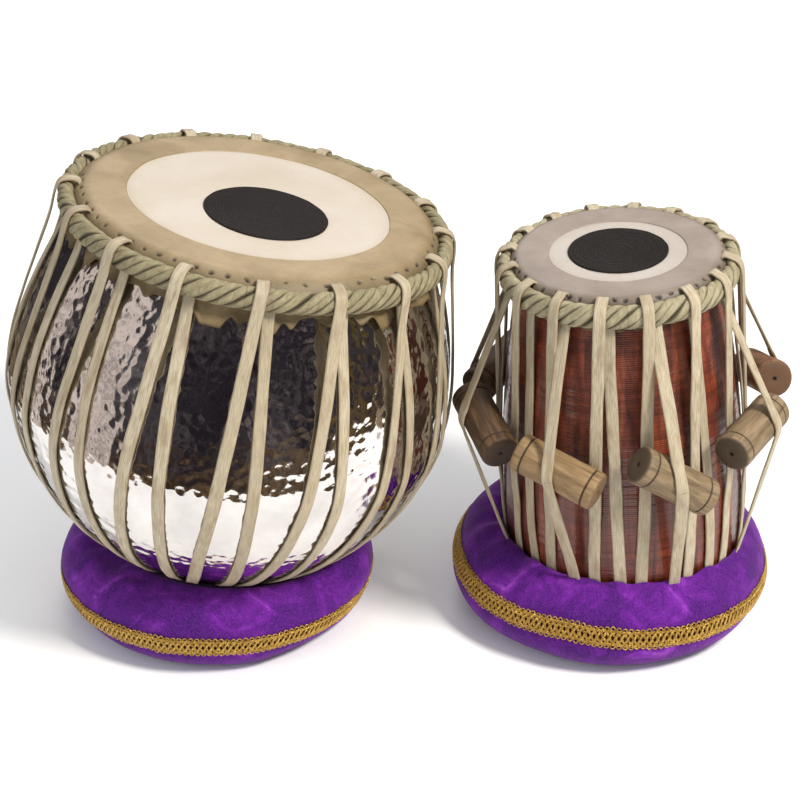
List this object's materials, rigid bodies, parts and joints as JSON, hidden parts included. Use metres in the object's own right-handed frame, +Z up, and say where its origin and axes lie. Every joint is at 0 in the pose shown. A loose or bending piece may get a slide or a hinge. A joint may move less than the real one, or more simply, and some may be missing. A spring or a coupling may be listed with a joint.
{
  "type": "tabla",
  "caption": "Pair of hand drums: a wooden treble drum with tuning dowels and a hammered metal bass drum, each laced with straps and set on a stuffed ring cushion.",
  "frame": {"origin": "centre of the pair's bounding box, on the surface that both cushions stand on", "axes": "+Z up; +X from the bass drum to the treble drum; -Y towards the player"},
  "size_m": [0.54, 0.309, 0.3259],
  "materials": {
    "velvet": "deep purple velvet with a soft sheen",
    "stuffing": "loose cotton",
    "gold_trim": "woven metallic gold thread",
    "varnished_wood": "red-brown, turned and varnished",
    "chrome": "hammered, polished",
    "head_skin": "pale goatskin, matt",
    "treble_edge_skin": "goatskin, pinkish grey",
    "bass_edge_skin": "goatskin, mottled beige",
    "lining_skin": "goatskin, matt",
    "black_paste": "dried iron paste, fine rings",
    "rim_leather": "twisted raw leather, greenish beige",
    "ring_leather": "raw leather",
    "strap_rawhide": "buffalo rawhide, creased",
    "light_dowel_wood": "turned, oiled",
    "grey_dowel_wood": "turned, weathered",
    "dark_dowel_wood": "turned, stained dark",
    "red_dowel_wood": "turned, reddish"
  },
  "bodies": {
    "root": {"bayan_cushion_cover": "velvet", "bayan_cushion_filling": "stuffing", "bayan_cushion_trim": "gold_trim", "dayan_cushion_cover": "velvet", "dayan_cushion_filling": "stuffing", "dayan_cushion_trim": "gold_trim"},
    "dayan_drum": {"dayan_bottom_loops": "strap_rawhide", "dayan_bottom_ring": "ring_leather", "dayan_edge_skin": "treble_edge_skin", "dayan_head_skin": "head_skin", "dayan_inner_lining": "lining_skin", "dayan_inner_straps": "strap_rawhide", "dayan_outer_straps": "strap_rawhide", "dayan_rim_braid": "rim_leather", "dayan_shell": "varnished_wood", "dayan_tuning_paste": "black_paste", "dowel_strap_1": "strap_rawhide", "dowel_strap_2": "strap_rawhide", "dowel_strap_3": "strap_rawhide", "dowel_strap_4": "strap_rawhide", "dowel_strap_5": "strap_rawhide", "dowel_strap_6": "strap_rawhide", "dowel_strap_7": "strap_rawhide", "dowel_strap_8": "strap_rawhide"},
    "bayan_drum": {"bayan_bottom_loops": "strap_rawhide", "bayan_bottom_ring": "ring_leather", "bayan_bowl": "chrome", "bayan_edge_skin": "bass_edge_skin", "bayan_head_skin": "head_skin", "bayan_inner_lining": "lining_skin", "bayan_inner_straps": "strap_rawhide", "bayan_outer_straps": "strap_rawhide", "bayan_rim_braid": "rim_leather", "bayan_tuning_paste": "black_paste"},
    "dowel_1": {"tuning_dowel_1": "dark_dowel_wood"},
    "dowel_2": {"tuning_dowel_2": "light_dowel_wood"},
    "dowel_3": {"tuning_dowel_3": "grey_dowel_wood"},
    "dowel_4": {"tuning_dowel_4": "grey_dowel_wood"},
    "dowel_5": {"tuning_dowel_5": "red_dowel_wood"},
    "dowel_6": {"tuning_dowel_6": "light_dowel_wood"},
    "dowel_7": {"tuning_dowel_7": "dark_dowel_wood"},
    "dowel_8": {"tuning_dowel_8": "dark_dowel_wood"}
  },
  "joints": [
    {"name": "dayan_lift", "type": "slide", "parent": "root", "child": "dayan_drum", "axis": [0, 0, 1], "range_m": [0, 0.06]},
    {"name": "bayan_rock", "type": "hinge", "parent": "root", "child": "bayan_drum", "pos_m": [-0.1137, 0.00061, 0.18439], "axis": [-0.2181, 0.9759, 0], "range_deg": [-7, 4]},
    {"name": "dowel_1_slide", "type": "slide", "parent": "dayan_drum", "child": "dowel_1", "axis": [0.0372, -0.0094, -0.9993], "range_m": [-0.018, 0.018], "deforming": ["dowel_strap_1"]},
    {"name": "dowel_2_slide", "type": "slide", "parent": "dayan_drum", "child": "dowel_2", "axis": [0.0505, -0.0254, -0.9984], "range_m": [-0.018, 0.018], "deforming": ["dowel_strap_2"]},
    {"name": "dowel_3_slide", "type": "slide", "parent": "dayan_drum", "child": "dowel_3", "axis": [0.072, -0.028, -0.997], "range_m": [-0.018, 0.018], "deforming": ["dowel_strap_3"]},
    {"name": "dowel_4_slide", "type": "slide", "parent": "dayan_drum", "child": "dowel_4", "axis": [0.0883, -0.0164, -0.996], "range_m": [-0.018, 0.018], "deforming": ["dowel_strap_4"]},
    {"name": "dowel_5_slide", "type": "slide", "parent": "dayan_drum", "child": "dowel_5", "axis": [0.0929, 0.0055, -0.9957], "range_m": [-0.018, 0.018], "deforming": ["dowel_strap_5"]},
    {"name": "dowel_6_slide", "type": "slide", "parent": "dayan_drum", "child": "dowel_6", "axis": [0.079, 0.0251, -0.9966], "range_m": [-0.018, 0.018], "deforming": ["dowel_strap_6"]},
    {"name": "dowel_7_slide", "type": "slide", "parent": "dayan_drum", "child": "dowel_7", "axis": [0.0575, 0.0281, -0.9979], "range_m": [-0.018, 0.018], "deforming": ["dowel_strap_7"]},
    {"name": "dowel_8_slide", "type": "slide", "parent": "dayan_drum", "child": "dowel_8", "axis": [0.0411, 0.017, -0.999], "range_m": [-0.018, 0.018], "deforming": ["dowel_strap_8"]}
  ]
}
